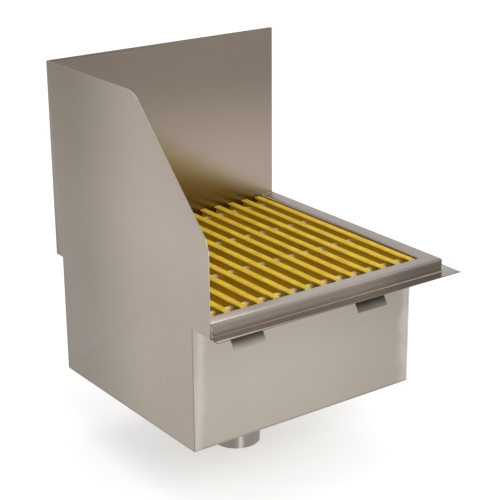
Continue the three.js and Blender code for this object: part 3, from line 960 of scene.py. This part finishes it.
class SINK_OT_grating(bpy.types.Operator):
    """The fibreglass bars with grit on their tops, and the rods that tie them"""

    bl_idname = "sink.grating"
    bl_label = "Grating"

    def execute(self, context):
        look = context.scene.sink_grate
        # Painted shade: the bars darken and turn bluer towards their front ends, behind the front rim.
        resin = pultruded_resin(
            "Pultruded polyester, yellow pigment", "DCB92E", "CBA222", 0.5, 0.3, "E6D79A",
            (("Y", 20, -10, (0.5, 0.5, 0.62)),),
        )
        bars = sorted(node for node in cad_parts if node.startswith("grate_bar_"))
        for node in bars:
            dress(node, resin)
        draw = random.Random(look.seed)
        grit = bmesh.new()
        for node in bars:
            low, high = span(node)
            self.gritted_top(grit, low, high, look, draw)
        top = gritted_resin("Quartz grit in yellow polyester", look.bar_tone)
        piece(grit, "grate_grit", top, "grate", (), 80.0)
        # Painted light: the rods are lighter towards the front.
        rod_resin = pultruded_resin(
            "Pultruded polyester, unpigmented rod", look.rod_tone, "B8AA7E", 0.38, 0.5, look.rod_tone,
            (("Y", 100, 40, 1.3),),
        )
        for node in sorted(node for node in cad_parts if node.startswith("grate_rod_")):
            low, high = span(node)
            middle = (low + high) / 2
            bm = bmesh.new()
            radius = (high.z - low.z) / 2 * MM
            bmesh.ops.create_cone(
                bm, segments=32, radius1=radius, radius2=radius, depth=(high.x - low.x) * MM,
                cap_ends=True,
                matrix=Matrix.Translation(at(*middle)) @ Matrix.Rotation(math.pi / 2, 4, "Y"),
            )
            soften(bm, 0.8, 3, 60.0)
            name = node.replace("grate_rod", "cross_rod")
            piece(bm, name, rod_resin, "grate", (node,), 40.0)
        return {"FINISHED"}

    def gritted_top(self, bm, low, high, look, draw):
        """Adds one bar's layer of grit: a thin closed slab with a rough upper face."""
        inset = 0.9
        edge, bed, sunk = 0.12, 0.18, 0.3  # the slab's edge and lowest grains, and its underside
        width = high.x - low.x - 2 * inset
        length = high.y - low.y - 2 * inset
        middle = (low + high) / 2
        across = max(2, round(width / look.grain))
        along = max(2, round(length / look.grain))
        base = Matrix.Translation(at(middle.x, middle.y, high.z)) @ Matrix.Diagonal(
            (width / 2 * MM, length / 2 * MM, 1.0, 1.0),
        )
        made = bmesh.ops.create_grid(bm, x_segments=across, y_segments=along, size=1.0, matrix=base)
        # The other bars' slabs are closed by now, so every open edge is this one's.
        border = [side for side in bm.edges if side.is_boundary]
        border_verts = {vert for side in border for vert in side.verts}
        for vert in made["verts"]:
            if vert in border_verts:
                vert.co.z += edge * MM
                continue
            drift = noise.noise(vert.co * 260.0)  # patches about 4 mm wide
            vert.co.z += (bed + look.grit * draw.random() ** 1.6 * (0.75 + 0.5 * drift)) * MM
            vert.co.x += draw.uniform(-0.3, 0.3) * MM
            vert.co.y += draw.uniform(-0.4, 0.4) * MM
        skirt = bmesh.ops.extrude_edge_only(bm, edges=border)
        underside = at(0, 0, high.z - sunk).z
        for item in skirt["geom"]:
            if isinstance(item, bmesh.types.BMVert):
                item.co.z = underside
        loop = [side for side in bm.edges if side.is_boundary]
        bmesh.ops.edgeloop_fill(bm, edges=loop)


class SINK_OT_strainer(bpy.types.Operator):
    """The lift-out strainer and its turned knob"""

    bl_idname = "sink.strainer"
    bl_label = "Strainer"

    def execute(self, context):
        bright = ground_steel("304 sheet, bright polished, strainer", "C4C0BA", "X", 0.22, 0.2)
        smooth_copy("waste_strainer", "strainer_plate", bright, "strainer")
        low, high = span("strainer_knob")
        centre = ((low.x + high.x) / 2, (low.y + high.y) / 2)
        turned_steel = mill_steel("303 bar, turned", "C9C6C0", 0.22)
        foot = low.z
        cap = high.z
        bm = turned(
            [(0.0, foot), (5.2, foot), (5.2, foot + 0.8), (4.0, foot + 1.6), (3.5, foot + 2.6),
             (3.5, cap - 7.4), (4.2, cap - 6.8), (9.2, cap - 5.2), (9.9, cap - 4.4), (10.0, cap - 3.4),
             (9.9, cap - 2.4), (9.2, cap - 1.0), (7.6, cap - 0.2), (5.0, cap), (0.0, cap)],
            centre, 64,
        )
        piece(bm, "lift_knob", turned_steel, "strainer", ("strainer_knob",), 40.0)
        return {"FINISHED"}


# ---- studio -------------------------------------------------------------------------------------


class SINK_OT_stage(bpy.types.Operator):
    """A pale floor, a pale surround, soft lamps and the camera"""

    bl_idname = "sink.stage"
    bl_label = "Stage"

    def execute(self, context):
        look = context.scene.sink_stage
        self.floor(look)
        self.surround()
        self.lamps(look)
        self.camera(look)
        context.scene.view_settings.view_transform = "Standard"
        return {"FINISHED"}

    def floor(self, look):
        bm = bmesh.new()
        bmesh.ops.create_circle(
            bm, cap_ends=True, segments=96, radius=14.0,
            matrix=Matrix.Translation((0, 0, CAD_BOX[0][2])),
        )
        mesh = bpy.data.meshes.new("studio_floor")
        bm.to_mesh(mesh)
        bm.free()
        material, tree = new_material("Matt white studio paint")
        place = add_node(tree, "TexCoord").outputs["Object"]
        paint = add_node(
            tree, "TexNoise", {"Vector": place, "Scale": 900.0, "Detail": 2.0},
        ).outputs["Fac"]
        relief = add_node(
            tree, "Bump", {"Height": paint, "Strength": 0.05, "Distance": 0.0002},
        ).outputs["Normal"]
        matt = add_node(
            tree, "BsdfPrincipled",
            {"Base Color": linear(look.floor_tone), "Roughness": 0.9, "Specular IOR Level": 0.1,
             "Normal": relief},
        )
        # Away from the sink the floor runs over into the white surround.
        distance = add_node(tree, "VectorMath", {0: place}, operation="LENGTH").outputs["Value"]
        lift = add_node(
            tree, "MapRange",
            {"Value": distance, "From Min": 0.7, "From Max": 2.4, "To Min": 0.43, "To Max": 0.52},
            interpolation_type="SMOOTHSTEP",
        ).outputs["Result"]
        lift = add_node(tree, "Math", {0: in_view(tree), 1: lift}, operation="MULTIPLY").outputs[0]
        glow = add_node(tree, "Emission", {"Color": (1, 1, 1, 1), "Strength": lift})
        both = add_node(tree, "AddShader", {0: matt.outputs[0], 1: glow.outputs[0]})
        add_node(tree, "OutputMaterial", {"Surface": both.outputs[0]})
        mesh.materials.append(material)
        made = add_object("studio_floor", mesh)

    def surround(self):
        world = bpy.data.worlds.new("Pale studio")
        bpy.context.scene.world = world
        world.use_nodes = True
        tree = world.node_tree
        tree.nodes.clear()
        level = add_node(
            tree, "Mix", {0: in_view(tree), 2: 0.78, 3: 1.0}, data_type="FLOAT",
        ).outputs[0]
        glow = add_node(tree, "Background", {"Color": (1, 1, 1, 1), "Strength": level})
        add_node(tree, "OutputWorld", {"Surface": glow.outputs[0]})

    def lamps(self, look):
        middle = Vector((0, 0, 0.35))
        # Each lamp's place and size are in metres, and its power in watts.
        for name, place, size, power in (
            ("key_softbox", (-0.7, -2.6, 2.0), 1.2, 30.0),
            ("fill_softbox", (2.4, -1.6, 1.8), 1.8, 12.0),
            ("top_softbox", (0.2, 0.4, 3.0), 2.2, 20.0),
            ("low_softbox", (-0.64, -2.15, 0.32), 0.3, 12.0),
        ):
            lamp = bpy.data.lights.new(name, "AREA")
            lamp.shape = "SQUARE"
            lamp.size = size
            lamp.energy = power * look.lamp
            made = add_object(name, lamp)
            made.location = place
            made.rotation_euler = (middle - made.location).to_track_quat("-Z", "Y").to_euler()

    def camera(self, look):
        az, el, ro = look.azimuth, look.elevation, look.roll
        back = Vector((math.sin(az) * math.cos(el), -math.cos(az) * math.cos(el), math.sin(el)))
        right = Vector((math.cos(az), math.sin(az), 0.0))
        up = back.cross(right)
        turned_right = right * math.cos(ro) + up * math.sin(ro)
        turned_up = up * math.cos(ro) - right * math.sin(ro)
        eye = bpy.data.cameras.new("photo_camera")
        eye.lens = look.lens
        eye.sensor_width = 36.0
        eye.clip_end = 60.0
        made = add_object("photo_camera", eye)
        pose = Matrix((turned_right, turned_up, back)).transposed().to_4x4()
        made.matrix_world = Matrix.Translation(at(*CAMERA_PLACE)) @ pose
        bpy.context.scene.camera = made


# ---- add-on -------------------------------------------------------------------------------------

STEPS = (
    SINK_OT_stage, SINK_OT_side_sheet, SINK_OT_backsplash, SINK_OT_basin, SINK_OT_outlet,
    SINK_OT_deck, SINK_OT_rim, SINK_OT_welds, SINK_OT_grating, SINK_OT_strainer,
)


class SINK_PT_panel(bpy.types.Panel):
    """Lists the sink's sizes, colours and steps"""

    bl_idname = "SINK_PT_panel"
    bl_label = "Mop Service Sink"
    bl_space_type = "VIEW_3D"
    bl_region_type = "UI"
    bl_category = "Sink"

    def draw(self, context):
        layout = self.layout
        for group in (context.scene.sink_steel, context.scene.sink_grate, context.scene.sink_stage):
            box = layout.box()
            for name in group.bl_rna.properties.keys():
                if name not in {"rna_type", "name"}:
                    box.prop(group, name)
        for step in STEPS:
            layout.operator(step.bl_idname)


CLASSES = (SinkSteelSettings, SinkGrateSettings, SinkStageSettings, *STEPS, SINK_PT_panel)


def register():
    for kind in CLASSES:
        bpy.utils.register_class(kind)
    bpy.types.Scene.sink_steel = bpy.props.PointerProperty(type=SinkSteelSettings)
    bpy.types.Scene.sink_grate = bpy.props.PointerProperty(type=SinkGrateSettings)
    bpy.types.Scene.sink_stage = bpy.props.PointerProperty(type=SinkStageSettings)


def unregister():
    del bpy.types.Scene.sink_stage
    del bpy.types.Scene.sink_grate
    del bpy.types.Scene.sink_steel
    for kind in reversed(CLASSES):
        bpy.utils.unregister_class(kind)


def main():
    register()
    bpy.ops.sink.stage()
    bpy.ops.sink.side_sheet()
    bpy.ops.sink.backsplash()
    bpy.ops.sink.basin()
    bpy.ops.sink.outlet()
    bpy.ops.sink.deck()
    bpy.ops.sink.rim()
    bpy.ops.sink.welds()
    bpy.ops.sink.grating()
    bpy.ops.sink.strainer()


if __name__ == "__main__":
    main()
